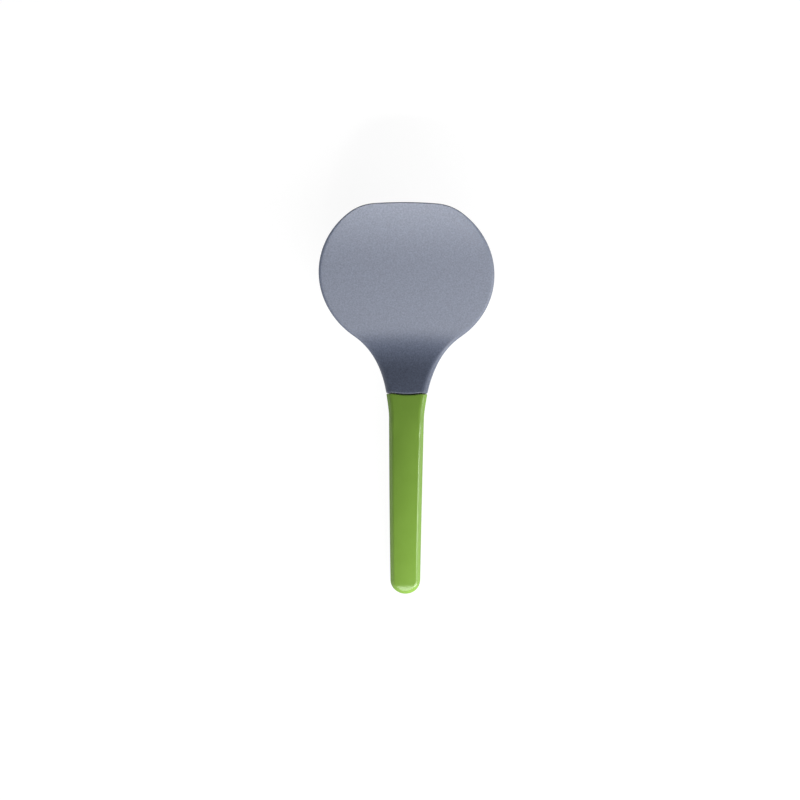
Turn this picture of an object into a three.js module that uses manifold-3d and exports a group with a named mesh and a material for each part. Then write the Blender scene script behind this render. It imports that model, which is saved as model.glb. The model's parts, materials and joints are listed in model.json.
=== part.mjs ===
// Pancake spatula: a nylon head, with blade, neck and tang in one moulding, in a gloss plastic handle.
// Millimetres and degrees, +Z up. The tool lies on its heel and the end of its handle, with the blade raised.
// It is first shaped flat and straight, in three numbers: x across, s along from the front edge, and n above
// the spine. The spine is the line along the blade's underside and on through the neck and the handle.
import * as THREE from 'three';
import { mergeVertices } from 'three/addons/utils/BufferGeometryUtils.js';
import Module from 'manifold-3d';

// Blade
const BLADE_DIAMETER = 114;
const FRONT_EDGE = 51.4; // from the blade's centre to its front edge
const FRONT_RADIUS = 238; // the front edge is almost straight
const CORNER_RADIUS = 29;
const TIP_THICKNESS = 0.8;
const BLADE_THICKNESS = 2.6; // where the heel begins
const TIP_ROUND_WIDTH = 0.3; // upper edge at the front
const EDGE_ROUND_WIDTH = 2.2; // upper edge at the sides
const EDGE_SETTLES = 30; // from the front edge to where the side edges have their full round
const EDGE_ROUND_SHARE = 0.5; // of the blade's thickness
const LOWER_ROUND_WIDTH = 0.4;
const LOWER_ROUND_SHARE = 0.2;

// Neck
const NECK_LEAVES = 38; // from the axis, where the neck's flare leaves the round of the blade
const HEEL_BEHIND = 35.3; // from the blade's centre to where the heel bends up
const HEEL_LENGTH = 36;
const NECK_ANGLE = 38;

// Collar, where head and handle meet
const COLLAR_BEHIND = 83.6; // from the blade's centre, along the spine
const COLLAR_WIDTH = 27;
const FLARE_LENGTH = 11.3; // from the collar to where its side lines cross those of the handle's taper
const COLLAR_RISE = 5.3; // top face above the spine
const COLLAR_DROP = 4.8; // underside below the spine
const COLLAR_ROUND_WIDTH = 4.2;
const COLLAR_ROUND_HEIGHT = 3.2;
const COLLAR_CROWN_RADIUS = 250;
const SEAM_GAP = 0.6;
const SEAM_BOW = 1.8; // the middle of the seam lies this much nearer the handle's end
const BOW_REACH = 30;
const LIP_ROUND = 0.6;
const LIP_ROWS = [0, 0.1, 0.4, 1]; // shares of the lip's round with a row of points

// Handle
const HANDLE_LENGTH = 131.9;
const ARCH_RADIUS = 440;
const WAIST_BEHIND = 16; // from the collar
const WAIST_WIDTH = 22.8;
const END_WIDTH = 19.5;
const END_RISE = 5.5;
const END_DROP = 4.6;
const GRIP_SWELL = 0.8;
const GRIP_ROUND_WIDTH = 2.9;
const GRIP_ROUND_HEIGHT = 1.9;
const GRIP_BEVEL = 1.5; // of its upper edges: 1 is a quarter round, 2 a straight bevel
const GRIP_CROWN_RADIUS = 45;
const NOSE_LENGTH = 7.5; // from the handle's end, where its top turns down
const NOSE_RADIUS = 15;
const NOSE_ANGLE = 19;
const PALM_ROUND = 4.4; // lower edges
const PALM_CROWN_RADIUS = 50; // across the underside of the handle
const GRIP_SETTLES = 30; // from the collar to where the handle has its own crown and edge rounds

// Tang and socket
const TANG_LENGTH = 56;
const TANG_ROOT = 9; // how far the tang starts inside the neck
const TANG_WIDTH = 15;
const TANG_THICKNESS = 5.4;
const TANG_CENTRE = 0.4; // above the spine
const TANG_DRAFT = 0.8; // each side, lost over the tang's length
const TANG_NOSE = 4;
const TANG_CORNER = 0.9;
const SOCKET_PLAY = 0.3;
const SOCKET_LENGTH = 108;
const SOCKET_END_WIDTH = 9;
const SOCKET_END_HEIGHT = 4.4;
const RECESS_COUNT = 3;
const RECESS_LENGTH = 11;
const RECESS_WIDTH = 9;
const RECESS_DEPTH = 1.5;
const CRUSH_RIB_HEIGHT = 0.2;
const CRUSH_RIB_WIDTH = 0.8;
const BARB_BEHIND = 44; // from the collar to the barbs' holding faces
const BARB_LENGTH = 8;
const BARB_HEIGHT = 0.9;
const BARB_DEPTH = 3;
const BARB_CREST = 0.25; // share of the barb's length before it slopes down

// Colours and finish
const NYLON_GREY = 0x767e8c;
const NYLON_ROUGHNESS = 0.55;
const LEAF_GREEN = 0x6f9a3a;
const GLOSS_ROUGHNESS = 0.2;

// Steps along the spine, in millimetres, and numbers of steps along each stretch of the outline
const SPINE_STEP = 0.5;
const FRONT_STEPS = 3;
const CORNER_STEPS = 6;
const BLADE_STEPS = 24;
const FLARE_STEPS = 11;
const TAPER_STEPS = 22;
const END_STEPS = 5;
const ROUND_STEPS = 4;
const TANG_STEP = 4;
const REST_PASSES = 30;

const rad = THREE.MathUtils.degToRad;
const { lerp, smoothstep } = THREE.MathUtils;
const wasm = await Module();
wasm.setup();

const heelStart = FRONT_EDGE + HEEL_BEHIND;
const heelEnd = heelStart + HEEL_LENGTH;
const collar = FRONT_EDGE + COLLAR_BEHIND;
const toolLength = collar + HANDLE_LENGTH;

// How steeply the spine climbs: not under the blade, most behind the heel, then less along the arch.
function spineAngle(s) {
  const arch = Math.max(0, s - heelEnd) / ARCH_RADIUS;
  return rad(NECK_ANGLE) * smoothstep(s, heelStart, heelEnd) - arch;
}

// Points of the spine, step by step from the front edge.
const spine = [{ y: FRONT_EDGE, z: 0 }];
for (let s = SPINE_STEP / 2; s < toolLength + SPINE_STEP; s += SPINE_STEP) {
  const { y, z } = spine[spine.length - 1];
  const angle = spineAngle(s);
  spine.push({ y: y - SPINE_STEP * Math.cos(angle), z: z + SPINE_STEP * Math.sin(angle) });
}

function spinePoint(s) {
  const steps = Math.max(0, s / SPINE_STEP);
  const i = Math.floor(steps);
  const t = steps - i;
  return { y: lerp(spine[i].y, spine[i + 1].y, t), z: lerp(spine[i].z, spine[i + 1].z, t) };
}

// Carries a flat point to its place on the bent tool.
function bend({ x, s, n }) {
  const angle = spineAngle(s);
  const { y, z } = spinePoint(s);
  return new THREE.Vector3(x, y + n * Math.sin(angle), z + n * Math.cos(angle));
}

// Outline of the right half, from the middle of the front edge to the middle of the handle's end.
function rightOutline() {
  const bladeRadius = BLADE_DIAMETER / 2;
  const quarter = Math.PI / 2;
  const frontReach = FRONT_RADIUS - CORNER_RADIUS;
  const bladeReach = bladeRadius - CORNER_RADIUS;
  const frontCentre = FRONT_RADIUS - FRONT_EDGE;
  const cornerAhead = (frontReach ** 2 - bladeReach ** 2 - frontCentre ** 2) / (2 * frontCentre);
  const cornerS = FRONT_EDGE - cornerAhead;
  const cornerX = Math.sqrt(bladeReach ** 2 - (cornerS - FRONT_EDGE) ** 2);
  const frontTurn = Math.atan2(cornerX, FRONT_RADIUS - cornerS) - quarter;
  const bladeTurn = Math.atan2(cornerX, FRONT_EDGE - cornerS) - quarter;
  const neckTurn = quarter - rad(NECK_LEAVES);
  const front = new THREE.EllipseCurve(0, FRONT_RADIUS, FRONT_RADIUS, FRONT_RADIUS, -quarter, frontTurn);
  const corner = new THREE.EllipseCurve(cornerX, cornerS, CORNER_RADIUS, CORNER_RADIUS, frontTurn, bladeTurn);
  const blade = new THREE.EllipseCurve(0, FRONT_EDGE, bladeRadius, bladeRadius, bladeTurn, neckTurn);

  const endRadius = END_WIDTH / 2;
  const endCentre = toolLength - endRadius;
  const waist = new THREE.Vector2(WAIST_WIDTH / 2, collar + WAIST_BEHIND);
  const run = endCentre - waist.y;
  const taperAngle = Math.acos(endRadius / Math.hypot(waist.x, run)) - Math.atan2(run, waist.x);
  const end = new THREE.EllipseCurve(0, endCentre, endRadius, endRadius, taperAngle, quarter);
  const taper = new THREE.LineCurve(waist, end.getPoint(0));

  const seam = new THREE.Vector2(COLLAR_WIDTH / 2, collar);
  const neckStart = blade.getPoint(1);
  const neckLine = new THREE.Vector2(-Math.sin(neckTurn), Math.cos(neckTurn));
  const taperLine = new THREE.Vector2(-Math.sin(taperAngle), Math.cos(taperAngle));
  const flareEnd = waist.clone().addScaledVector(taperLine, (FLARE_LENGTH - WAIST_BEHIND) / taperLine.y);
  const seamLine = flareEnd.clone().sub(seam).normalize();
  const neckCorner = crossing(neckStart, neckLine, seam, seamLine);
  const neckFlare = new THREE.QuadraticBezierCurve(neckStart, neckCorner, seam);
  const collarFlare = new THREE.QuadraticBezierCurve(seam, flareEnd, waist);
  return { front, corner, blade, neckFlare, collarFlare, taper, end };
}

// Where two lines, each a point and a direction, cross.
function crossing(a, alongA, b, alongB) {
  const t = b.clone().sub(a).cross(alongB) / alongA.cross(alongB);
  return a.clone().addScaledVector(alongA, t);
}

// A point of the outline with its inward normal. Near the seam it is drawn in by the lip's round.
function rimPoint(curve, t) {
  const point = curve.getPoint(t);
  const along = curve.getTangent(t);
  const inset = lipInset(point.y);
  return { x: point.x - along.y * inset, s: point.y + along.x * inset, inX: -along.y, inS: along.x };
}

function rimPoints(curve, shares) {
  return shares.map((t) => rimPoint(curve, t));
}

function evenShares(steps) {
  return Array.from({ length: steps + 1 }, (_, i) => i / steps);
}

// How far the surface is drawn in beside the seam: a quarter round on both lips.
function lipInset(s) {
  const fromLip = Math.abs(s - collar) - SEAM_GAP / 2;
  if (fromLip >= LIP_ROUND) return 0;
  const left = LIP_ROUND - Math.max(fromLip, 0);
  return LIP_ROUND - Math.sqrt(LIP_ROUND ** 2 - left ** 2);
}

// Shares of a flare curve for the lip's edge, the round behind it and the rest of the stretch.
function seamShares(curve, fromSeam, steps) {
  const speed = 2 * Math.abs(fromSeam === 0 ? curve.v1.y - curve.v0.y : curve.v2.y - curve.v1.y);
  const lip = LIP_ROWS.map((part) => (SEAM_GAP / 2 + part * LIP_ROUND) / speed);
  const rest = evenShares(steps).filter((t) => t > (SEAM_GAP + LIP_ROUND) / speed);
  return [...lip, ...rest].map((t) => Math.abs(fromSeam - t));
}

// Heights of the top and the underside along the middle, and the edge rounds.
function neckShare(s) {
  return smoothstep(s, heelStart, collar);
}

function handleShare(s) {
  return THREE.MathUtils.clamp((s - collar) / HANDLE_LENGTH, 0, 1);
}

// Share of the neck's thickening, which starts gently and goes on up to the collar.
function neckRise(s) {
  const t = THREE.MathUtils.clamp((s - heelStart) / (collar - heelStart), 0, 1);
  return t ** 2 * (2 - t);
}

function settled(s) {
  return smoothstep(s, collar, collar + GRIP_SETTLES);
}

// How far the top has sunk towards the handle's end: a short bend, then a slope.
function noseDrop(s) {
  const beyond = Math.max(0, s - toolLength + NOSE_LENGTH);
  const slope = Math.min(beyond / NOSE_RADIUS, Math.tan(rad(NOSE_ANGLE)));
  return slope * beyond - (NOSE_RADIUS * slope ** 2) / 2;
}

function topAt(x, s) {
  const crownRadius = lerp(COLLAR_CROWN_RADIUS, GRIP_CROWN_RADIUS, settled(s));
  const crown = (neckShare(s) * x ** 2) / (2 * crownRadius);
  if (s >= collar) {
    const u = handleShare(s);
    return lerp(COLLAR_RISE, END_RISE, u) + GRIP_SWELL * Math.sin(Math.PI * u) - noseDrop(s) - crown;
  }
  const slope = (BLADE_THICKNESS - TIP_THICKNESS) / heelStart;
  const thickening = COLLAR_RISE - TIP_THICKNESS - slope * collar;
  return TIP_THICKNESS + slope * s + thickening * neckRise(s) - crown;
}

function undersideAt(x, s) {
  const crown = (smoothstep(s, heelEnd, collar) * x ** 2) / (2 * PALM_CROWN_RADIUS);
  if (s >= collar) {
    const u = handleShare(s);
    return -lerp(COLLAR_DROP, END_DROP, u) - GRIP_SWELL * Math.sin(Math.PI * u) + crown;
  }
  return -COLLAR_DROP * neckShare(s) + crown;
}

// Width and height of an edge's round: small on the blade, growing to the collar, then the grip's own.
function edgeRound(s, bladeWidth, bladeShare, gripWidth, gripHeight) {
  const bladeHeight = bladeShare * topAt(0, Math.min(s, heelStart));
  return {
    width: lerp(lerp(bladeWidth, COLLAR_ROUND_WIDTH, neckShare(s)), gripWidth, settled(s)),
    height: lerp(lerp(bladeHeight, COLLAR_ROUND_HEIGHT, neckShare(s)), gripHeight, settled(s)),
  };
}

function topRound(s) {
  const bladeWidth = lerp(TIP_ROUND_WIDTH, EDGE_ROUND_WIDTH, smoothstep(s, 0, EDGE_SETTLES));
  const bevel = lerp(1, GRIP_BEVEL, settled(s));
  return { ...edgeRound(s, bladeWidth, EDGE_ROUND_SHARE, GRIP_ROUND_WIDTH, GRIP_ROUND_HEIGHT), bevel };
}

function lowerRound(s) {
  return { ...edgeRound(s, LOWER_ROUND_WIDTH, LOWER_ROUND_SHARE, PALM_ROUND, PALM_ROUND), bevel: 1 };
}

// Near the collar the rows follow the bow of the seam.
function bowed(x, s) {
  const near = Math.max(0, 1 - Math.abs(s - collar) / BOW_REACH) ** 2;
  const across = Math.max(0, 1 - (2 * x / COLLAR_WIDTH) ** 2);
  return s + SEAM_BOW * near * across;
}

// One face of a moulding as a grid of flat points: rings round the rim, then rows across the middle.
// half runs from the seam along the right side to the axis. Its last points, from corner on, cross the end.
function sheet(half, corner, round, heightAt, outward) {
  const rim = [...half, ...half.slice(0, -1).reverse().map((p) => ({ ...p, x: -p.x, inX: -p.inX }))];
  const place = (x, s, sink, inset) => {
    const along = bowed(x, s);
    return { x, s: along, n: heightAt(x, along) - outward * (sink + inset) };
  };
  const rings = [];
  for (let k = 0; k <= ROUND_STEPS; k++) {
    const turn = (k / ROUND_STEPS) * (Math.PI / 2);
    rings.push(
      rim.map((p) => {
        const { width, height, bevel } = round(p.s);
        const draw = width * (1 - Math.cos(turn) ** bevel);
        const sink = height * (1 - Math.sin(turn) ** bevel);
        return place(p.x + p.inX * draw, p.s + p.inS * draw, sink, lipInset(p.s));
      }),
    );
  }
  const flatRing = rim.map((p) => {
    const { width } = round(p.s);
    return { x: p.x + p.inX * width, s: p.s + p.inS * width };
  });
  const last = rim.length - 1;
  const columns = last - 2 * corner;
  const rows = [];
  for (let r = 0; r < corner; r++) {
    const v = r / corner;
    const row = [rings[ROUND_STEPS][r]];
    for (let c = 1; c < columns; c++) {
      const u = c / columns;
      const straight = flatRing[corner].x * (1 - 2 * u);
      const x = flatRing[r].x * (1 - 2 * u) + v * (flatRing[corner + c].x - straight);
      const s = flatRing[r].s + v * (flatRing[corner + c].s - flatRing[corner].s);
      row.push(place(x, s, 0, lipInset(rim[r].s)));
    }
    row.push(rings[ROUND_STEPS][last - r]);
    rows.push(row);
  }
  rows.push(rings[ROUND_STEPS].slice(corner, last - corner + 1));
  return { rings, rows };
}

// A closed moulding from its upper and lower sheets.
function moulding(half, corner) {
  const upper = sheet(half, corner, topRound, topAt, 1);
  const lower = sheet(half, corner, lowerRound, undersideAt, -1);
  const faces = [];
  for (const [face, turned] of [[upper, false], [lower, true]]) {
    addGrid(faces, face.rings, turned);
    addGrid(faces, face.rows, !turned);
  }
  addGrid(faces, [lower.rings[0], upper.rings[0]], false);
  addGrid(faces, [endLoop(upper), endLoop(lower)], false);
  return closedSolid(faces);
}

// The points of a sheet's own end at the seam, from right to left.
function endLoop({ rings, rows }) {
  const right = rings.map((ring) => ring[0]);
  const left = rings.map((ring) => ring[ring.length - 1]).reverse();
  return [...right, ...rows[0].slice(1, -1), ...left];
}

function addGrid(faces, grid, turned) {
  for (let r = 0; r + 1 < grid.length; r++) {
    for (let c = 0; c + 1 < grid[r].length; c++) {
      const quad = [grid[r][c], grid[r][c + 1], grid[r + 1][c + 1], grid[r + 1][c]];
      if (turned) quad.reverse();
      faces.push([quad[0], quad[1], quad[2]], [quad[0], quad[2], quad[3]]);
    }
  }
}

// A bar along the tool, lofted through rounded rectangles: each station is { s, x0, x1, n0, n1 }.
function bar(stations, cornerRadius) {
  const rings = stations.map((station) => sectionRing(station, cornerRadius));
  const faces = [];
  addGrid(faces, rings.map((ring) => [...ring, ring[0]]), false);
  for (const [ring, turned] of [[rings[0], true], [rings[rings.length - 1], false]]) {
    for (let i = 1; i + 1 < ring.length; i++) {
      const fan = [ring[0], ring[i], ring[i + 1]];
      faces.push(turned ? fan.reverse() : fan);
    }
  }
  return closedSolid(faces);
}

function sectionRing({ s, x0, x1, n0, n1 }, cornerRadius) {
  const shape = new THREE.Path();
  const r = cornerRadius;
  const quarter = Math.PI / 2;
  shape.absarc(x1 - r, n1 - r, r, 0, quarter);
  shape.absarc(x0 + r, n1 - r, r, quarter, 2 * quarter);
  shape.absarc(x0 + r, n0 + r, r, 2 * quarter, 3 * quarter);
  shape.absarc(x1 - r, n0 + r, r, 3 * quarter, 4 * quarter);
  const arcs = shape.curves.filter((curve) => curve.isEllipseCurve);
  return arcs.flatMap((arc) => arc.getPoints(2)).map((p) => ({ x: p.x, s, n: p.y }));
}

// Bends flat triangles onto the tool and makes one outward-facing solid of them.
function closedSolid(faces) {
  const points = faces.flat().map(bend);
  const loose = new THREE.BufferGeometry().setFromPoints(points);
  const merged = mergeVertices(loose, 1e-4);
  const triVerts = new Uint32Array(whole(merged.index.array));
  const position = merged.getAttribute('position');
  if (signedVolume(position, triVerts) < 0) triVerts.reverse();
  return new wasm.Manifold(new wasm.Mesh({ numProp: 3, vertProperties: position.array, triVerts }));
}

// Leaves out triangles that closed up to a line.
function whole(index) {
  const kept = [];
  for (let i = 0; i < index.length; i += 3) {
    const [a, b, c] = index.slice(i, i + 3);
    if (a !== b && b !== c && c !== a) kept.push(a, b, c);
  }
  return kept;
}

function signedVolume(position, triVerts) {
  const [a, b, c] = [new THREE.Vector3(), new THREE.Vector3(), new THREE.Vector3()];
  let volume = 0;
  for (let i = 0; i < triVerts.length; i += 3) {
    a.fromBufferAttribute(position, triVerts[i]);
    b.fromBufferAttribute(position, triVerts[i + 1]);
    c.fromBufferAttribute(position, triVerts[i + 2]);
    volume += a.dot(b.cross(c)) / 6;
  }
  return volume;
}

// Tang, widest at the collar, with a tapered nose.
const tangEnd = collar + TANG_LENGTH;
const barbFace = collar + BARB_BEHIND;
const tangLow = TANG_CENTRE - TANG_THICKNESS / 2;
const tangHigh = TANG_CENTRE + TANG_THICKNESS / 2;

function tangHalf(s) {
  return TANG_WIDTH / 2 - (TANG_DRAFT * Math.max(0, s - collar)) / TANG_LENGTH;
}

function stepsBetween(from, to) {
  const count = Math.max(1, Math.round((to - from) / TANG_STEP));
  return evenShares(count).map((t) => lerp(from, to, t));
}

function tangSolid() {
  const stations = stepsBetween(collar - TANG_ROOT, tangEnd - TANG_NOSE).map((s) => {
    return { s, x0: -tangHalf(s), x1: tangHalf(s), n0: tangLow, n1: tangHigh };
  });
  const nose = tangHalf(tangEnd) - TANG_NOSE / 2;
  stations.push({ s: tangEnd, x0: -nose, x1: nose, n0: tangLow + TANG_CORNER, n1: tangHigh - TANG_CORNER });
  return bar(stations, TANG_CORNER);
}

// Recesses on both faces, which keep the tang's walls even.
function tangRecesses() {
  const pitch = BARB_BEHIND / RECESS_COUNT;
  const half = RECESS_WIDTH / 2;
  const solids = [];
  for (let i = 0; i < RECESS_COUNT; i++) {
    const from = collar + (i + 0.5) * pitch - RECESS_LENGTH / 2;
    const along = stepsBetween(from, from + RECESS_LENGTH);
    const upper = { x0: -half, x1: half, n0: tangHigh - RECESS_DEPTH, n1: tangHigh + RECESS_DEPTH };
    const lower = { x0: -half, x1: half, n0: tangLow - RECESS_DEPTH, n1: tangLow + RECESS_DEPTH };
    for (const box of [upper, lower]) solids.push(bar(along.map((s) => ({ s, ...box })), TANG_CORNER));
  }
  return solids;
}

// Thin ribs beside the recesses that the socket squeezes as the handle is pushed on.
function crushRibs() {
  const middle = (RECESS_WIDTH / 2 + tangHalf(barbFace)) / 2;
  const along = stepsBetween(collar + TANG_NOSE, barbFace - TANG_NOSE);
  const solids = [];
  for (const side of [-1, 1]) {
    const x0 = side * middle - CRUSH_RIB_WIDTH / 2;
    const across = { x0, x1: x0 + CRUSH_RIB_WIDTH };
    const upper = { ...across, n0: TANG_CENTRE, n1: tangHigh + CRUSH_RIB_HEIGHT };
    const lower = { ...across, n0: tangLow - CRUSH_RIB_HEIGHT, n1: TANG_CENTRE };
    for (const box of [upper, lower]) {
      const stations = along.map((s) => ({ s, ...box }));
      solids.push(bar(stations, CRUSH_RIB_WIDTH / 4));
    }
  }
  return solids;
}

// A wedge on each side of the tang: upright towards the collar, sloped towards the nose.
function barbs(grow) {
  const from = barbFace - grow;
  const to = barbFace + BARB_LENGTH + grow;
  const n0 = TANG_CENTRE - BARB_DEPTH / 2 - grow;
  const n1 = TANG_CENTRE + BARB_DEPTH / 2 + grow;
  const inner = tangHalf(tangEnd) - BARB_HEIGHT;
  const high = tangHalf(barbFace) + BARB_HEIGHT + grow;
  const low = tangHalf(barbFace + BARB_LENGTH) + grow;
  const right = [
    { s: from, x0: inner, x1: high, n0, n1 },
    { s: lerp(from, to, BARB_CREST), x0: inner, x1: high, n0, n1 },
    { s: to, x0: inner, x1: low, n0, n1 },
  ];
  const left = right.map((station) => ({ ...station, x0: -station.x1, x1: -station.x0 }));
  return [bar(right, BARB_HEIGHT / 4), bar(left, BARB_HEIGHT / 4)];
}

// The hollow of the handle: a loose fit round the tang, then a narrowing core.
function socketSolid() {
  const low = tangLow - SOCKET_PLAY;
  const high = tangHigh + SOCKET_PLAY;
  const fitted = stepsBetween(collar - TANG_NOSE, tangEnd + TANG_NOSE / 2).map((s) => {
    const half = tangHalf(s) + SOCKET_PLAY;
    return { s, x0: -half, x1: half, n0: low, n1: high };
  });
  const fittedEnd = fitted[fitted.length - 1];
  const socketEnd = collar + SOCKET_LENGTH;
  const core = stepsBetween(fittedEnd.s, socketEnd).slice(1).map((s) => {
    const t = (s - fittedEnd.s) / (socketEnd - fittedEnd.s);
    const half = lerp(fittedEnd.x1, SOCKET_END_WIDTH / 2, t);
    const reach = lerp((high - low) / 2, SOCKET_END_HEIGHT / 2, t);
    return { s, x0: -half, x1: half, n0: TANG_CENTRE - reach, n1: TANG_CENTRE + reach };
  });
  return bar([...fitted, ...core], TANG_CORNER);
}

function headSolid() {
  const { front, corner, blade, neckFlare } = rightOutline();
  const sides = [
    ...rimPoints(neckFlare, seamShares(neckFlare, 1, FLARE_STEPS)),
    ...rimPoints(blade, evenShares(BLADE_STEPS).reverse().slice(1)),
    ...rimPoints(corner, evenShares(CORNER_STEPS).reverse().slice(1)),
  ];
  const across = rimPoints(front, evenShares(FRONT_STEPS).reverse().slice(1));
  let solid = moulding([...sides, ...across], sides.length - 1).add(tangSolid());
  for (const piece of [...crushRibs(), ...barbs(0)]) solid = solid.add(piece);
  for (const recess of tangRecesses()) solid = solid.subtract(recess);
  return solid;
}

function handleSolid() {
  const { collarFlare, taper, end } = rightOutline();
  const round = rimPoints(end, evenShares(2 * END_STEPS).slice(1));
  const sides = [
    ...rimPoints(collarFlare, seamShares(collarFlare, 0, FLARE_STEPS / 2)),
    ...rimPoints(taper, evenShares(TAPER_STEPS).slice(1)),
    ...round.slice(0, END_STEPS),
  ];
  let solid = moulding([...sides, ...round.slice(END_STEPS)], sides.length - 1).subtract(socketSolid());
  for (const pocket of barbs(SOCKET_PLAY)) solid = solid.subtract(pocket);
  return solid;
}

function meshOf(name, solid, color, roughness) {
  const { vertProperties, triVerts } = solid.getMesh();
  const geometry = new THREE.BufferGeometry();
  geometry.setAttribute('position', new THREE.BufferAttribute(vertProperties, 3));
  geometry.setIndex(new THREE.BufferAttribute(triVerts, 1));
  geometry.computeVertexNormals();
  const mesh = new THREE.Mesh(geometry, new THREE.MeshStandardMaterial({ color, roughness, metalness: 0 }));
  mesh.name = name;
  return mesh;
}

// The lowest point of a mesh, seen from the side, with the tool tilted about X.
function lowestPoint(mesh, tilt) {
  const position = mesh.geometry.getAttribute('position');
  const point = new THREE.Vector3();
  const lowest = new THREE.Vector3(0, 0, Infinity);
  const axis = new THREE.Vector3(1, 0, 0);
  for (let i = 0; i < position.count; i++) {
    point.fromBufferAttribute(position, i).applyAxisAngle(axis, tilt);
    if (point.z < lowest.z) lowest.copy(point);
  }
  return lowest;
}

// The tilt at which the heel and the end of the handle touch the table together.
function restTilt(head, handle) {
  let tilt = 0;
  for (let pass = 0; pass < REST_PASSES; pass++) {
    const heel = lowestPoint(head, tilt);
    const end = lowestPoint(handle, tilt);
    tilt += Math.atan2(end.z - heel.z, heel.y - end.y);
  }
  return tilt;
}

const head = meshOf('nylon_head', headSolid(), NYLON_GREY, NYLON_ROUGHNESS);
const handle = meshOf('grip_handle', handleSolid(), LEAF_GREEN, GLOSS_ROUGHNESS);

const tool = new THREE.Group();
tool.add(head, handle);
tool.rotation.x = restTilt(head, handle);

// The origin is on the table, below the middle of the tool.
const box = new THREE.Box3().setFromObject(tool, true);
tool.position.set(0, -(box.min.y + box.max.y) / 2, -box.min.z);

const spatula = new THREE.Group();
spatula.add(tool);

export default spatula;
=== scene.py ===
"""A pancake spatula on a pale table. It lies on its heel and the end of its handle, with the blade raised.

The shapes are first made flat and straight, in millimetres: x across, s along from the front edge, and n
above the spine, the line along the blade's underside and on through the neck and the handle.
"""
import json
import math

import bmesh
import bpy
import numpy as np
from mathutils import Matrix, Vector


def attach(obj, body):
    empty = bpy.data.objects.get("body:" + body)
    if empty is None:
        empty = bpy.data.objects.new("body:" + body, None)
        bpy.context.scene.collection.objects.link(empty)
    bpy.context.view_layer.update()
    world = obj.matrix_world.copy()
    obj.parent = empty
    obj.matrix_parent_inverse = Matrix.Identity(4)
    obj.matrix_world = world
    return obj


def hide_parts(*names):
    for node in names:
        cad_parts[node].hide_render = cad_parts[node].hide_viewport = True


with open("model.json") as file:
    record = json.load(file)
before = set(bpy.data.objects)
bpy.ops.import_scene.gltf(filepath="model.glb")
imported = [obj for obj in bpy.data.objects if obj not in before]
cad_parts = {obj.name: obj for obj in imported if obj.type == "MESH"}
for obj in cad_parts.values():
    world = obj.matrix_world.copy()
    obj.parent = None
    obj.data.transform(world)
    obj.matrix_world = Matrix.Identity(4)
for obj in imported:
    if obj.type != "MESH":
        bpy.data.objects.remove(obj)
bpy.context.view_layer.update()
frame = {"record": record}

MM = 0.001
WELD = 1e-6  # metres
QUARTER = math.pi / 2  # of a turn, in radians
HALF_TURN = 180  # degrees

# Blade, in millimetres and degrees
BLADE_DIAMETER = 114
FRONT_EDGE = 51.4  # from the blade's centre to its front edge
FRONT_RADIUS = 238
CORNER_RADIUS = 29
TIP_THICKNESS = 0.8
BLADE_THICKNESS = 2.6  # where the heel begins
TIP_ROUND_WIDTH = 0.3  # upper edge at the front
EDGE_ROUND_WIDTH = 2.2  # upper edge at the sides
EDGE_SETTLES = 30  # from the front edge to where the side edges have their full round
EDGE_ROUND_SHARE = 0.5  # of the blade's thickness
LOWER_ROUND_WIDTH = 0.4
LOWER_ROUND_SHARE = 0.2

# Neck
NECK_LEAVES = 38  # from the axis, where the neck's flare leaves the round of the blade
HEEL_BEHIND = 35.3  # from the blade's centre to where the heel bends up
HEEL_LENGTH = 36
NECK_ANGLE = 38

# Collar, where head and handle meet
COLLAR_BEHIND = 83.6  # from the blade's centre, along the spine
COLLAR_WIDTH = 27
FLARE_LENGTH = 11.3  # from the collar to where its side lines cross those of the handle's taper
COLLAR_RISE = 5.3
COLLAR_DROP = 4.8
COLLAR_ROUND_WIDTH = 4.2
COLLAR_ROUND_HEIGHT = 3.2
COLLAR_CROWN_RADIUS = 250
SEAM_GAP = 0.6
SEAM_BOW = 1.8  # the middle of the seam lies this much nearer the handle's end
BOW_REACH = 30
LIP_ROUND = 0.6

# Handle
HANDLE_LENGTH = 131.9
ARCH_RADIUS = 440
WAIST_BEHIND = 16  # from the collar
WAIST_WIDTH = 22.8
END_WIDTH = 19.5
END_RISE = 5.5
END_DROP = 4.6
GRIP_SWELL = 0.8
GRIP_ROUND_WIDTH = 2.9
GRIP_ROUND_HEIGHT = 1.9
GRIP_BEVEL = 1.5  # of its upper edges: 1 is a quarter round, 2 a straight bevel
GRIP_CROWN_RADIUS = 45
NOSE_LENGTH = 7.5  # from the handle's end, where its top turns down
NOSE_RADIUS = 15
NOSE_ANGLE = 19
PALM_ROUND = 4.4  # lower edges
PALM_CROWN_RADIUS = 50
GRIP_SETTLES = 30  # from the collar to where the handle has its own crown and edge rounds

# Tang and socket
TANG_LENGTH = 56
TANG_ROOT = 9  # how far the tang starts inside the neck
TANG_WIDTH = 15
TANG_THICKNESS = 5.4
TANG_CENTRE = 0.4  # above the spine
TANG_DRAFT = 0.8  # each side, lost over the tang's length
TANG_NOSE = 4
TANG_CORNER = 0.9
SOCKET_PLAY = 0.3
SOCKET_LENGTH = 108
SOCKET_END_WIDTH = 9
SOCKET_END_HEIGHT = 4.4
RECESS_COUNT = 3
RECESS_LENGTH = 11
RECESS_WIDTH = 9
RECESS_DEPTH = 1.5
CRUSH_RIB_HEIGHT = 0.2
CRUSH_RIB_WIDTH = 0.8
CRUSH_RIB_ROUND = 0.2
BARB_BEHIND = 44  # from the collar to the barbs' holding faces
BARB_LENGTH = 8
BARB_HEIGHT = 0.9
BARB_DEPTH = 3
BARB_ROUND = 0.225
BARB_CREST = 0.25  # share of the barb's length before it slopes down

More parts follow.
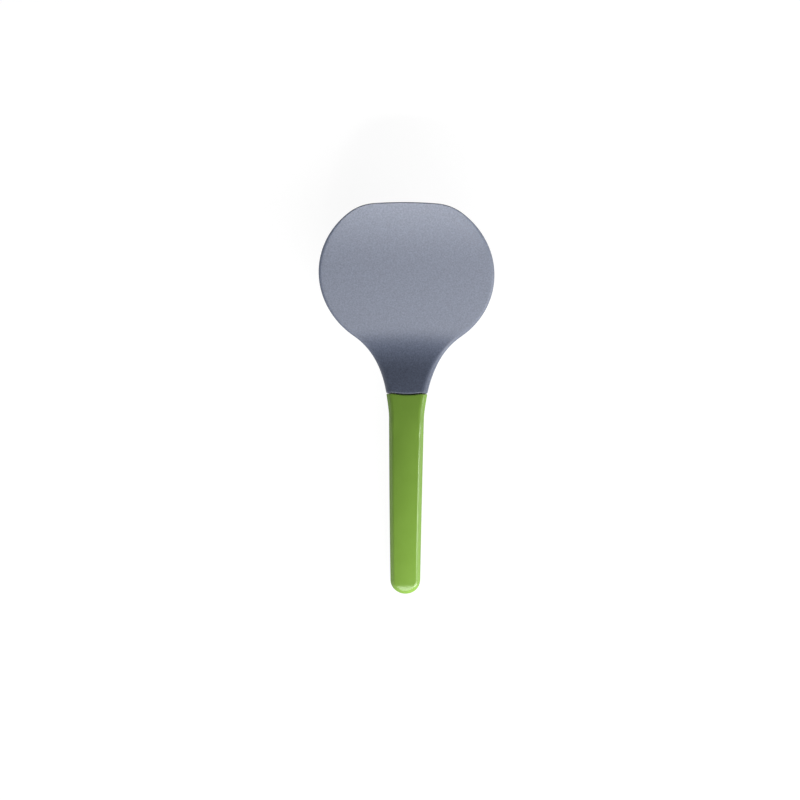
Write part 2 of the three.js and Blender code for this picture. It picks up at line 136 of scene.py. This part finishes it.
# Steps along the spine and the bars, in millimetres, and numbers of steps along each stretch and round
SPINE_STEP = 0.5
FRONT_STEPS = 14
CORNER_STEPS = 20
BLADE_STEPS = 80
FLARE_STEPS = 60
COLLAR_STEPS = 16
TAPER_STEPS = 60
END_STEPS = 14
ROUND_STEPS = 12
LIP_STEPS = 6
BAR_STEP = 2
BAR_ROUND_STEPS = 4
SHARP_ANGLE = 40

# Looks: colours as linear red, green and blue, grains and depths in metres
NYLON_DARK = (0.071, 0.084, 0.121, 1)
NYLON_LIGHT = (0.111, 0.131, 0.188, 1)
NYLON_ROUGHNESS = (0.41, 0.48)
SPECKLE_GRAIN = 0.0009
MOULD_GRAIN = 0.0005
MOULD_DEPTH = 0.00002
GRAIN_TURN = (0.6, 0.4, 0.9)  # radians
GREEN_DEEP = (0.175, 0.314, 0.046, 1)
GREEN_BRIGHT = (0.185, 0.328, 0.05, 1)
GREEN_ROUGHNESS = (0.2, 0.25)
GLOSS = 0.5  # specular level of the handle, as plastic has it
GRAZING_GLOSS = 0.005
GRAZING_START = 0.3  # where the gloss begins to fade: 0 faces the viewer and 1 is seen edge on
GRAZING_STOP = 0.55
CLOUD_GRAIN = 0.012
HAZE_GRAIN = 0.003
HAZE_DETAIL = 4
WAVE_GRAIN = 0.008
WAVE_DETAIL = 0
WAVE_DEPTH = 0.00001
NOISE_DETAIL = 2
NOISE_LOW = 0.3  # most values of a noise lie between these
NOISE_HIGH = 0.7
WHITE = (1, 1, 1, 1)

# Light, camera and table, in metres and degrees
CAMERA_PLACE = (0.06609, 0.02221, 1.52651)
CAMERA_TURN = (-0.801, 2.665, 0.456)
SENSOR_WIDTH = 36  # millimetres
LENS = 104.13  # millimetres
AIM = Vector((0, 0, 0.02))
TIP = Vector((0, 0.141, 0.06))  # beyond the middle of the front edge
TABLE_RADIUS = 3
BACKDROP_HEIGHT = 1
BACKDROP_STEPS = 96
TABLE_COLOUR = (0.8, 0.8, 0.8, 1)
TABLE_GLOW = 0.93
TABLE_SHADED = (0.13, 0.13, 0.13, 1)
FILL_STRENGTH = 0.02

heel_start = FRONT_EDGE + HEEL_BEHIND
heel_end = heel_start + HEEL_LENGTH
collar = FRONT_EDGE + COLLAR_BEHIND
tool_length = collar + HANDLE_LENGTH
end_radius = END_WIDTH / 2
end_centre = tool_length - end_radius


def lerp(a, b, t):
    return a + (b - a) * t


def smoothstep(value, low, high):
    t = np.clip((value - low) / (high - low), 0, 1)
    return t * t * (3 - 2 * t)


# Spine and place


def spine_angle(s):
    """How steeply the spine climbs: not under the blade, most behind the heel, then less along the arch."""
    arch = np.maximum(0, s - heel_end) / ARCH_RADIUS
    return math.radians(NECK_ANGLE) * smoothstep(s, heel_start, heel_end) - arch


def spine_points():
    """The spine's distances along, y and z, step by step from the front edge."""
    along = np.arange(0, tool_length + SPINE_STEP, SPINE_STEP)
    angles = spine_angle(along[1:] - SPINE_STEP / 2)
    y = FRONT_EDGE - SPINE_STEP * np.cumsum(np.cos(angles))
    z = SPINE_STEP * np.cumsum(np.sin(angles))
    return along, np.append(FRONT_EDGE, y), np.append(0, z)


spine = spine_points()


def bend(flat):
    """Carries flat points to the bent tool."""
    x, s, n = np.moveaxis(flat, -1, 0)
    along, spine_y, spine_z = spine
    angle = spine_angle(s)
    y = np.interp(s, along, spine_y) + n * np.sin(angle)
    z = np.interp(s, along, spine_z) + n * np.cos(angle)
    return np.stack((x, y, z), axis=-1)


def tool_place():
    """Where the tool lies: its own origin is the middle of the blade's underside, which the record gives."""
    mounts = {mount["name"]: mount for mount in frame["record"]["mounts"]}
    underside = mounts["blade_underside"]
    tilt = math.atan2(underside["axis"][1], -underside["axis"][2])
    turn = Matrix.Rotation(tilt, 4, "X")
    return Matrix.Translation(underside["pos_m"]) @ turn @ Matrix.Scale(MM, 4)


# Outline of the right half: each stretch gives its points and the directions along it


def arc(centre, radius, start, stop, shares):
    turn = lerp(start, stop, shares)
    outward = np.stack((np.cos(turn), np.sin(turn)), axis=-1)
    along = np.stack((-np.sin(turn), np.cos(turn)), axis=-1)
    return np.array(centre) + radius * outward, along


def flare(start, corner, stop, shares):
    t = shares[:, None]
    points = (1 - t) ** 2 * start + 2 * t * (1 - t) * corner + t**2 * stop
    along = lerp(corner - start, stop - corner, t)
    return points, along / np.linalg.norm(along, axis=1, keepdims=True)


def straight(start, stop, shares):
    along = (stop - start) / np.linalg.norm(stop - start)
    return lerp(start, stop, shares[:, None]), np.tile(along, (len(shares), 1))


def crossing(a, along_a, b, along_b):
    """Where two lines, each a point and a direction, cross."""
    t = np.linalg.det((b - a, along_b)) / np.linalg.det((along_a, along_b))
    return a + along_a * t


def lip_inset(s):
    """How far the surface is drawn in beside the seam: a quarter round on both lips."""
    from_lip = np.abs(s - collar) - SEAM_GAP / 2
    left = np.clip(LIP_ROUND - from_lip, 0, LIP_ROUND)
    return LIP_ROUND - np.sqrt(LIP_ROUND**2 - left**2)


def rim(stretch):
    """Rows of x, s and the inward normal for a stretch of the outline."""
    points, along = stretch
    inward = np.stack((-along[:, 1], along[:, 0]), axis=-1)
    return np.hstack((points + inward * lip_inset(points[:, 1])[:, None], inward))


def even(steps):
    return np.linspace(0, 1, steps + 1)


def seam_shares(speed, steps):
    """Shares of a flare from the seam on: close rows round the lip, then even ones.

    speed is how far the flare runs along the tool for a whole share, at the pace it has at the seam.
    """
    lip = 1 - np.cos(even(LIP_STEPS) * QUARTER)
    near = (SEAM_GAP / 2 + lip * LIP_ROUND) / speed
    rest = even(steps)
    return np.concatenate((near, rest[rest > (SEAM_GAP + LIP_ROUND) / speed]))


def blade_corner():
    """Centre of the round corner between front edge and blade, and the turns where it begins and ends."""
    front_reach = FRONT_RADIUS - CORNER_RADIUS
    blade_reach = BLADE_DIAMETER / 2 - CORNER_RADIUS
    front_centre = FRONT_RADIUS - FRONT_EDGE
    ahead = (front_reach**2 - blade_reach**2 - front_centre**2) / (2 * front_centre)
    x = math.sqrt(blade_reach**2 - ahead**2)
    front_turn = math.atan2(x, front_centre + ahead) - QUARTER
    blade_turn = math.atan2(x, ahead) - QUARTER
    return (x, FRONT_EDGE - ahead), front_turn, blade_turn


def grip_line():
    """The waist's point and the turn at which the handle's straight side meets its round end."""
    waist = np.array((WAIST_WIDTH / 2, collar + WAIST_BEHIND))
    run = end_centre - waist[1]
    turn = math.acos(end_radius / math.hypot(waist[0], run)) - math.atan2(run, waist[0])
    return waist, turn


def collar_lines():
    """The seam's end point, where the collar's line crosses the grip's, and the collar line's direction."""
    waist, turn = grip_line()
    taper = np.array((-math.sin(turn), math.cos(turn)))
    seam = np.array((COLLAR_WIDTH / 2, collar))
    flare_end = waist + taper * (FLARE_LENGTH - WAIST_BEHIND) / taper[1]
    return seam, flare_end, flare_end - seam


def head_outline():
    """Right half of the head from the seam to the middle of the front edge, and its front corner's index."""
    (corner_x, corner_s), front_turn, blade_turn = blade_corner()
    neck_turn = QUARTER - math.radians(NECK_LEAVES)
    blade_centre = (0, FRONT_EDGE)
    seam, _, seam_line = collar_lines()
    neck_start = arc(blade_centre, BLADE_DIAMETER / 2, neck_turn, neck_turn, np.zeros(1))[0][0]
    neck_line = np.array((-math.sin(neck_turn), math.cos(neck_turn)))
    neck_corner = crossing(neck_start, neck_line, seam, seam_line)
    backward = even(BLADE_STEPS)[:0:-1]
    neck = flare(neck_start, neck_corner, seam, 1 - seam_shares(2 * (seam - neck_corner)[1], FLARE_STEPS))
    blade = arc(blade_centre, BLADE_DIAMETER / 2, blade_turn, neck_turn, backward)
    corner = arc((corner_x, corner_s), CORNER_RADIUS, front_turn, blade_turn, even(CORNER_STEPS)[::-1])
    front = arc((0, FRONT_RADIUS), FRONT_RADIUS, -QUARTER, front_turn, even(FRONT_STEPS)[-2::-1])
    sides = np.vstack([rim(stretch) for stretch in (neck, blade, corner)])
    return np.vstack((sides, rim(front))), len(sides) - 1


def handle_outline():
    """Right half of the handle from the seam to the middle of its end, and the index where its end begins."""
    waist, turn = grip_line()
    seam, flare_end, _ = collar_lines()
    end = arc((0, end_centre), end_radius, turn, QUARTER, even(2 * END_STEPS))
    taper = straight(waist, end[0][0], even(TAPER_STEPS)[1:])
    neck = flare(seam, flare_end, waist, seam_shares(2 * (flare_end - seam)[1], COLLAR_STEPS))
    outline = np.vstack((rim(neck), rim(taper), rim(end)[1:]))
    return outline, len(outline) - 1 - END_STEPS


# Heights of the top and the underside, and the rounds of their edges


def neck_share(s):
    return smoothstep(s, heel_start, collar)


def handle_share(s):
    return np.clip((s - collar) / HANDLE_LENGTH, 0, 1)


def neck_rise(s):
    """Share of the neck's thickening, which starts gently and goes on up to the collar."""
    t = np.clip((s - heel_start) / (collar - heel_start), 0, 1)
    return t**2 * (2 - t)


def settled(s):
    return smoothstep(s, collar, collar + GRIP_SETTLES)


def swell(s):
    return GRIP_SWELL * np.sin(math.pi * handle_share(s))


def nose_drop(s):
    """How far the top has sunk towards the handle's end: a short bend, then a slope."""
    beyond = np.maximum(0, s - tool_length + NOSE_LENGTH)
    slope = np.minimum(beyond / NOSE_RADIUS, math.tan(math.radians(NOSE_ANGLE)))
    return slope * beyond - NOSE_RADIUS * slope**2 / 2


def head_top(s):
    slope = (BLADE_THICKNESS - TIP_THICKNESS) / heel_start
    thickening = COLLAR_RISE - TIP_THICKNESS - slope * collar
    return TIP_THICKNESS + slope * s + thickening * neck_rise(s)


def top_at(x, s):
    crown_radius = lerp(COLLAR_CROWN_RADIUS, GRIP_CROWN_RADIUS, settled(s))
    crown = neck_share(s) * x**2 / (2 * crown_radius)
    handle = lerp(COLLAR_RISE, END_RISE, handle_share(s)) + swell(s) - nose_drop(s)
    return np.where(s < collar, head_top(s), handle) - crown


def underside_at(x, s):
    crown = smoothstep(s, heel_end, collar) * x**2 / (2 * PALM_CROWN_RADIUS)
    handle = lerp(COLLAR_DROP, END_DROP, handle_share(s)) + swell(s)
    return crown - np.where(s < collar, COLLAR_DROP * neck_share(s), handle)


def edge_round(s, blade_width, blade_share, grip_width, grip_height):
    """Width and height of an edge's round: small on the blade, growing to the collar, then the grip's own."""
    blade_height = blade_share * head_top(np.minimum(s, heel_start))
    width = lerp(lerp(blade_width, COLLAR_ROUND_WIDTH, neck_share(s)), grip_width, settled(s))
    height = lerp(lerp(blade_height, COLLAR_ROUND_HEIGHT, neck_share(s)), grip_height, settled(s))
    return width, height


def top_round(s):
    """Width, height and bevel of the upper edge's round."""
    blade_width = lerp(TIP_ROUND_WIDTH, EDGE_ROUND_WIDTH, smoothstep(s, 0, EDGE_SETTLES))
    bevel = lerp(1, GRIP_BEVEL, settled(s))
    return *edge_round(s, blade_width, EDGE_ROUND_SHARE, GRIP_ROUND_WIDTH, GRIP_ROUND_HEIGHT), bevel


def lower_round(s):
    """Width, height and bevel of the lower edge's round."""
    return *edge_round(s, LOWER_ROUND_WIDTH, LOWER_ROUND_SHARE, PALM_ROUND, PALM_ROUND), 1


def bowed(x, s):
    """Near the collar the rows follow the bow of the seam."""
    near = np.maximum(0, 1 - np.abs(s - collar) / BOW_REACH) ** 2
    across = np.maximum(0, 1 - (2 * x / COLLAR_WIDTH) ** 2)
    return s + SEAM_BOW * near * across


# Mouldings


def sheet(half, corner, round_at, height_at, outward):
    """One face of a moulding: rings of points round the rim, then rows across the middle."""
    mirrored = half[-2::-1] * (-1, 1, -1, 1)
    x, s, in_x, in_s = np.vstack((half, mirrored)).T
    width, height, bevel = round_at(s)
    lip = lip_inset(s)

    def place(x, s, sink):
        along = bowed(x, s)
        return np.stack((x, along, height_at(x, along) - outward * sink), axis=-1)

    rings = []
    for turn in even(ROUND_STEPS) * QUARTER:
        draw = width * (1 - math.cos(turn) ** bevel)
        sink = height * (1 - math.sin(turn) ** bevel)
        rings.append(place(x + in_x * draw, s + in_s * draw, sink + lip))
    flat_x = x + in_x * width
    flat_s = s + in_s * width
    last = len(x) - 1
    end = slice(corner, last - corner + 1)
    across = 1 - 2 * even(last - 2 * corner)
    rows = []
    for r in range(corner):
        v = r / corner
        row_x = flat_x[r] * across + v * (flat_x[end] - flat_x[corner] * across)
        row_s = flat_s[r] + v * (flat_s[end] - flat_s[corner])
        row = place(row_x, row_s, lip[r])
        row[0] = rings[-1][r]
        row[-1] = rings[-1][last - r]
        rows.append(row)
    rows.append(rings[-1][end])
    return rings, rows


def seam_end(rings, rows):
    """The points of a sheet's own end at the seam, from right to left."""
    right = [ring[0] for ring in rings]
    left = [ring[-1] for ring in rings[::-1]]
    return right + list(rows[0][1:-1]) + left


def closed_mesh(name, patches, caps=()):
    """A closed mesh of grids and caps of flat points, bent onto the tool and set in its place."""
    bm = bmesh.new()
    for patch in patches:
        rows = [[bm.verts.new(point) for point in row] for row in bend(np.array(patch))]
        for near, far in zip(rows, rows[1:]):
            for i in range(len(near) - 1):
                bm.faces.new((near[i], near[i + 1], far[i + 1], far[i]))
    for cap in caps:
        bm.faces.new([bm.verts.new(point) for point in bend(np.array(cap))])
    bmesh.ops.transform(bm, matrix=tool_place(), verts=bm.verts)
    bmesh.ops.remove_doubles(bm, verts=bm.verts, dist=WELD)
    bmesh.ops.recalc_face_normals(bm, faces=bm.faces)
    mesh = bpy.data.meshes.new(name)
    bm.to_mesh(mesh)
    bm.free()
    return mesh


def moulding(name, half, corner):
    upper = sheet(half, corner, top_round, top_at, 1)
    lower = sheet(half, corner, lower_round, underside_at, -1)
    wall = (lower[0][0], upper[0][0])
    end = (seam_end(*upper), seam_end(*lower))
    return closed_mesh(name, (*upper, *lower, wall, end))


def section(s, x0, x1, n0, n1, radius):
    """A rounded rectangle across the tool."""
    turns = even(BAR_ROUND_STEPS) * QUARTER
    ring = []
    for i, (x, n) in enumerate(((x1, n1), (x0, n1), (x0, n0), (x1, n0))):
        x_in = x - math.copysign(radius, x - (x0 + x1) / 2)
        n_in = n - math.copysign(radius, n - (n0 + n1) / 2)
        for turn in turns + i * QUARTER:
            ring.append((x_in + radius * math.cos(turn), s, n_in + radius * math.sin(turn)))
    return ring


def bar(name, stations, radius):
    """A bar along the tool, lofted through rounded rectangles (s, x0, x1, n0, n1)."""
    rings = [section(*station, radius) for station in stations]
    closed = [ring + ring[:1] for ring in rings]
    return closed_mesh(name, [closed], (rings[0], rings[-1]))


def stops(start, stop):
    return np.linspace(start, stop, max(2, round((stop - start) / BAR_STEP) + 1))


# Tang and socket

tang_end = collar + TANG_LENGTH
barb_face = collar + BARB_BEHIND
tang_low = TANG_CENTRE - TANG_THICKNESS / 2
tang_high = TANG_CENTRE + TANG_THICKNESS / 2


def tang_half(s):
    return TANG_WIDTH / 2 - TANG_DRAFT * max(0, s - collar) / TANG_LENGTH


def tang():
    """Widest at the collar, with a tapered nose."""
    along = stops(collar - TANG_ROOT, tang_end - TANG_NOSE)
    stations = [(s, -tang_half(s), tang_half(s), tang_low, tang_high) for s in along]
    nose = tang_half(tang_end) - TANG_NOSE / 2
    stations.append((tang_end, -nose, nose, tang_low + TANG_CORNER, tang_high - TANG_CORNER))
    return bar("tang", stations, TANG_CORNER)


def tang_recesses():
    """Pockets on both faces, which keep the tang's walls even."""
    pitch = BARB_BEHIND / RECESS_COUNT
    half = RECESS_WIDTH / 2
    pockets = []
    for i in range(RECESS_COUNT):
        start = collar + (i + 0.5) * pitch - RECESS_LENGTH / 2
        for face in (tang_low, tang_high):
            box = (-half, half, face - RECESS_DEPTH, face + RECESS_DEPTH)
            stations = [(s, *box) for s in stops(start, start + RECESS_LENGTH)]
            pockets.append(bar("recess", stations, TANG_CORNER))
    return pockets


def crush_ribs():
    """Thin ribs beside the recesses that the socket squeezes as the handle is pushed on."""
    middle = (RECESS_WIDTH / 2 + tang_half(barb_face)) / 2
    along = stops(collar + TANG_NOSE, barb_face - TANG_NOSE)
    upper = (TANG_CENTRE, tang_high + CRUSH_RIB_HEIGHT)
    lower = (tang_low - CRUSH_RIB_HEIGHT, TANG_CENTRE)
    ribs = []
    for side in (-1, 1):
        x0 = side * middle - CRUSH_RIB_WIDTH / 2
        x1 = x0 + CRUSH_RIB_WIDTH
        for face in (upper, lower):
            stations = [(s, x0, x1, *face) for s in along]
            ribs.append(bar("rib", stations, CRUSH_RIB_ROUND))
    return ribs


def barbs(grow):
    """A wedge on each side of the tang: upright towards the collar, sloped towards the nose."""
    start = barb_face - grow
    stop = barb_face + BARB_LENGTH + grow
    n0 = TANG_CENTRE - BARB_DEPTH / 2 - grow
    n1 = TANG_CENTRE + BARB_DEPTH / 2 + grow
    inner = tang_half(tang_end) - BARB_HEIGHT
    high = tang_half(barb_face) + BARB_HEIGHT + grow
    low = tang_half(barb_face + BARB_LENGTH) + grow
    profile = ((start, high), (lerp(start, stop, BARB_CREST), high), (stop, low))
    right = [(s, inner, reach, n0, n1) for s, reach in profile]
    left = [(s, -reach, -inner, n0, n1) for s, reach in profile]
    return [bar("barb", stations, BARB_ROUND) for stations in (right, left)]


def socket():
    """The hollow of the handle: a loose fit round the tang, then a narrowing core."""
    low = tang_low - SOCKET_PLAY
    high = tang_high + SOCKET_PLAY
    fitted_end = tang_end + TANG_NOSE / 2
    socket_end = collar + SOCKET_LENGTH
    stations = []
    for s in stops(collar - TANG_NOSE, fitted_end):
        half = tang_half(s) + SOCKET_PLAY
        stations.append((s, -half, half, low, high))
    fitted_half = stations[-1][2]
    for s in stops(fitted_end, socket_end)[1:]:
        t = (s - fitted_end) / (socket_end - fitted_end)
        half = lerp(fitted_half, SOCKET_END_WIDTH / 2, t)
        reach = lerp((high - low) / 2, SOCKET_END_HEIGHT / 2, t)
        stations.append((s, -half, half, TANG_CENTRE - reach, TANG_CENTRE + reach))
    return bar("socket", stations, TANG_CORNER)


# Pieces


def new_object(name, data):
    made = bpy.data.objects.new(name, data)
    bpy.context.scene.collection.objects.link(made)
    return made


def combined(name, mesh, joined=(), cut=()):
    """A piece of mesh with other closed meshes joined to it and cut from it."""
    piece = new_object(name, mesh)
    helpers = []
    for operation, others in (("UNION", joined), ("DIFFERENCE", cut)):
        for other in others:
            helper = new_object(other.name, other)
            change = piece.modifiers.new(operation, "BOOLEAN")
            change.operation = operation
            change.solver = "MANIFOLD"
            change.object = helper
            helpers.append(helper)
    graph = bpy.context.evaluated_depsgraph_get()
    finished = bpy.data.meshes.new_from_object(piece.evaluated_get(graph))
    piece.modifiers.clear()
    piece.data = finished
    finished.shade_smooth()
    finished.set_sharp_from_angle(angle=math.radians(SHARP_ANGLE))
    for helper in helpers:
        bpy.data.objects.remove(helper)
    return piece


def head_piece():
    body = moulding("head", *head_outline())
    return combined("spatula_head", body, [tang(), *crush_ribs(), *barbs(0)], tang_recesses())


def handle_piece():
    body = moulding("handle", *handle_outline())
    return combined("spatula_handle", body, cut=[socket(), *barbs(SOCKET_PLAY)])


# Materials


def new_material(name):
    """A material with its tree, its shader and the object's own coordinates."""
    made = bpy.data.materials.new(name)
    made.use_nodes = True
    tree = made.node_tree
    place = tree.nodes.new("ShaderNodeTexCoord").outputs["Object"]
    return made, tree, tree.nodes["Principled BSDF"], place


def noise(tree, place, grain, detail=NOISE_DETAIL):
    """Noise with grains of about the given size, in metres."""
    node = tree.nodes.new("ShaderNodeTexNoise")
    node.inputs["Scale"].default_value = 1 / grain
    node.inputs["Detail"].default_value = detail
    tree.links.new(place, node.inputs["Vector"])
    return node.outputs["Fac"]


def turned(tree, place):
    """Coordinates turned askew, so that no grain runs along or across the tool."""
    node = tree.nodes.new("ShaderNodeMapping")
    node.inputs["Rotation"].default_value = GRAIN_TURN
    tree.links.new(place, node.inputs["Vector"])
    return node.outputs["Vector"]


def spread(tree, factor, low, high, start=NOISE_LOW, stop=NOISE_HIGH):
    """Carries the range from start to stop, or the middle of a noise, to the range from low to high."""
    node = tree.nodes.new("ShaderNodeMapRange")
    node.inputs["From Min"].default_value = start
    node.inputs["From Max"].default_value = stop
    node.inputs["To Min"].default_value = low
    node.inputs["To Max"].default_value = high
    tree.links.new(factor, node.inputs["Value"])
    return node.outputs["Result"]


def blend(tree, factor, dark, light):
    """A colour between two, which follows a noise."""
    factor = spread(tree, factor, 0, 1)
    node = tree.nodes.new("ShaderNodeMix")
    node.data_type = "RGBA"
    node.inputs["A"].default_value = dark
    node.inputs["B"].default_value = light
    tree.links.new(factor, node.inputs["Factor"])
    return node.outputs["Result"]


def bump(tree, height, depth):
    """A bump of the given depth, in metres."""
    node = tree.nodes.new("ShaderNodeBump")
    node.inputs["Distance"].default_value = depth
    tree.links.new(height, node.inputs["Height"])
    return node.outputs["Normal"]


def nylon():
    """Satin grey nylon: a fine moulded grain and faint speckles."""
    made, tree, shader, place = new_material("satin_nylon")
    askew = turned(tree, place)
    speckle = noise(tree, askew, SPECKLE_GRAIN)
    grain = noise(tree, askew, MOULD_GRAIN)
    tree.links.new(blend(tree, speckle, NYLON_DARK, NYLON_LIGHT), shader.inputs["Base Color"])
    tree.links.new(spread(tree, grain, *NYLON_ROUGHNESS), shader.inputs["Roughness"])
    tree.links.new(bump(tree, grain, MOULD_DEPTH), shader.inputs["Normal"])
    return made


def gloss_green():
    """Glossy leaf green plastic, with the faint waves of a moulded surface.

    Its gloss fades at grazing angles, where a light that faces the viewer would bleach the handle.
    """
    made, tree, shader, place = new_material("gloss_green_plastic")
    cloud = noise(tree, place, CLOUD_GRAIN)
    haze = noise(tree, place, HAZE_GRAIN, HAZE_DETAIL)
    wave = noise(tree, place, WAVE_GRAIN, WAVE_DETAIL)
    tree.links.new(blend(tree, cloud, GREEN_DEEP, GREEN_BRIGHT), shader.inputs["Base Color"])
    tree.links.new(spread(tree, haze, *GREEN_ROUGHNESS), shader.inputs["Roughness"])
    tree.links.new(bump(tree, wave, WAVE_DEPTH), shader.inputs["Normal"])
    facing = tree.nodes.new("ShaderNodeLayerWeight").outputs["Facing"]
    gloss = spread(tree, facing, GLOSS, GRAZING_GLOSS, GRAZING_START, GRAZING_STOP)
    tree.links.new(gloss, shader.inputs["Specular IOR Level"])
    return made


def add_piece(piece, material, node):
    piece.data.materials.clear()
    piece.data.materials.append(material)
    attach(piece, "root")
    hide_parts(node)


add_piece(head_piece(), nylon(), "nylon_head")
add_piece(handle_piece(), gloss_green(), "grip_handle")


# Table, light and camera


def seen_directly(tree):
    """1 for rays that show a surface: straight to the camera, mirrored or through glass."""
    paths = tree.nodes.new("ShaderNodeLightPath")
    factor = paths.outputs["Is Camera Ray"]
    for name in ("Is Glossy Ray", "Is Transmission Ray"):
        node = tree.nodes.new("ShaderNodeMath")
        node.operation = "MAXIMUM"
        tree.links.new(factor, node.inputs[0])
        tree.links.new(paths.outputs[name], node.inputs[1])
        factor = node.outputs["Value"]
    return factor


def table_material():
    """White to the eye, with the tool's shadow, and a plain pale surface to the light."""
    made = bpy.data.materials.new("pale_table")
    made.use_nodes = True
    tree = made.node_tree
    tree.nodes.remove(tree.nodes["Principled BSDF"])
    plain = tree.nodes.new("ShaderNodeBsdfDiffuse")
    plain.inputs["Color"].default_value = TABLE_COLOUR
    shaded = tree.nodes.new("ShaderNodeBsdfDiffuse")
    shaded.inputs["Color"].default_value = TABLE_SHADED
    glow = tree.nodes.new("ShaderNodeEmission")
    glow.inputs["Strength"].default_value = TABLE_GLOW
    shown = tree.nodes.new("ShaderNodeAddShader")
    tree.links.new(glow.outputs["Emission"], shown.inputs[0])
    tree.links.new(shaded.outputs["BSDF"], shown.inputs[1])
    mix = tree.nodes.new("ShaderNodeMixShader")
    tree.links.new(seen_directly(tree), mix.inputs["Fac"])
    tree.links.new(plain.outputs["BSDF"], mix.inputs[1])
    tree.links.new(shown.outputs["Shader"], mix.inputs[2])
    tree.links.new(mix.outputs["Shader"], tree.nodes["Material Output"].inputs["Surface"])
    return made


def add_table():
    """A round table whose rim stands up as a low backdrop."""
    bm = bmesh.new()
    bmesh.ops.create_circle(bm, cap_ends=True, segments=BACKDROP_STEPS, radius=TABLE_RADIUS)
    raised = bmesh.ops.extrude_edge_only(bm, edges=bm.edges[:])["geom"]
    top = [part for part in raised if isinstance(part, bmesh.types.BMVert)]
    bmesh.ops.translate(bm, vec=(0, 0, BACKDROP_HEIGHT), verts=top)
    mesh = bpy.data.meshes.new("table")
    bm.to_mesh(mesh)
    bm.free()
    mesh.materials.append(table_material())
    new_object("table", mesh)


def add_world():
    """A faint white fill light from all round."""
    world = bpy.data.worlds.new("surround")
    world.use_nodes = True
    bpy.context.scene.world = world
    surround = world.node_tree.nodes["Background"]
    surround.inputs["Color"].default_value = WHITE
    surround.inputs["Strength"].default_value = FILL_STRENGTH


def add_softbox(name, compass, lean, distance, width, length, radiance, aim=AIM, beam=HALF_TURN):
    """A rectangular light that faces its aim.

    compass is its turn from -Y towards +X, lean its angle from the vertical, and beam how wide it shines,
    all in degrees.
    """
    lamp = bpy.data.lights.new(name, "AREA")
    lamp.shape = "RECTANGLE"
    lamp.size = width
    lamp.size_y = length
    lamp.energy = radiance * math.pi * width * length
    lamp.spread = math.radians(beam)
    turn = math.radians(compass)
    level = math.sin(math.radians(lean))
    rise = math.cos(math.radians(lean))
    direction = Vector((level * math.sin(turn), -level * math.cos(turn), rise))
    softbox = new_object(name, lamp)
    softbox.location = aim + distance * direction
    softbox.rotation_euler = direction.to_track_quat("Z", "Y").to_euler()


def add_camera():
    lens = bpy.data.cameras.new("camera")
    lens.sensor_width = SENSOR_WIDTH
    lens.lens = LENS
    camera = new_object("camera", lens)
    camera.location = CAMERA_PLACE
    camera.rotation_euler = [math.radians(turn) for turn in CAMERA_TURN]
    bpy.context.scene.camera = camera


add_table()
add_world()
add_softbox("front_light", compass=8, lean=62, distance=1.2, width=1.2, length=0.85, radiance=6.45)
add_softbox("corner_light", compass=44, lean=72, distance=1.2, width=0.5, length=0.4, radiance=11)
add_softbox("right_light", compass=92, lean=78, distance=1.1, width=1.2, length=0.4, radiance=1.4)
add_softbox("left_light", compass=-90, lean=66, distance=1.2, width=1.4, length=1, radiance=0.3)
add_softbox("right_strip", compass=78, lean=57, distance=1.2, width=0.6, length=0.2, radiance=13)
add_softbox(
    "tip_light", compass=0, lean=52, distance=0.4, width=0.25, length=0.02, radiance=1.45, aim=TIP, beam=16
)
add_camera()
bpy.context.scene.view_settings.view_transform = "Standard"
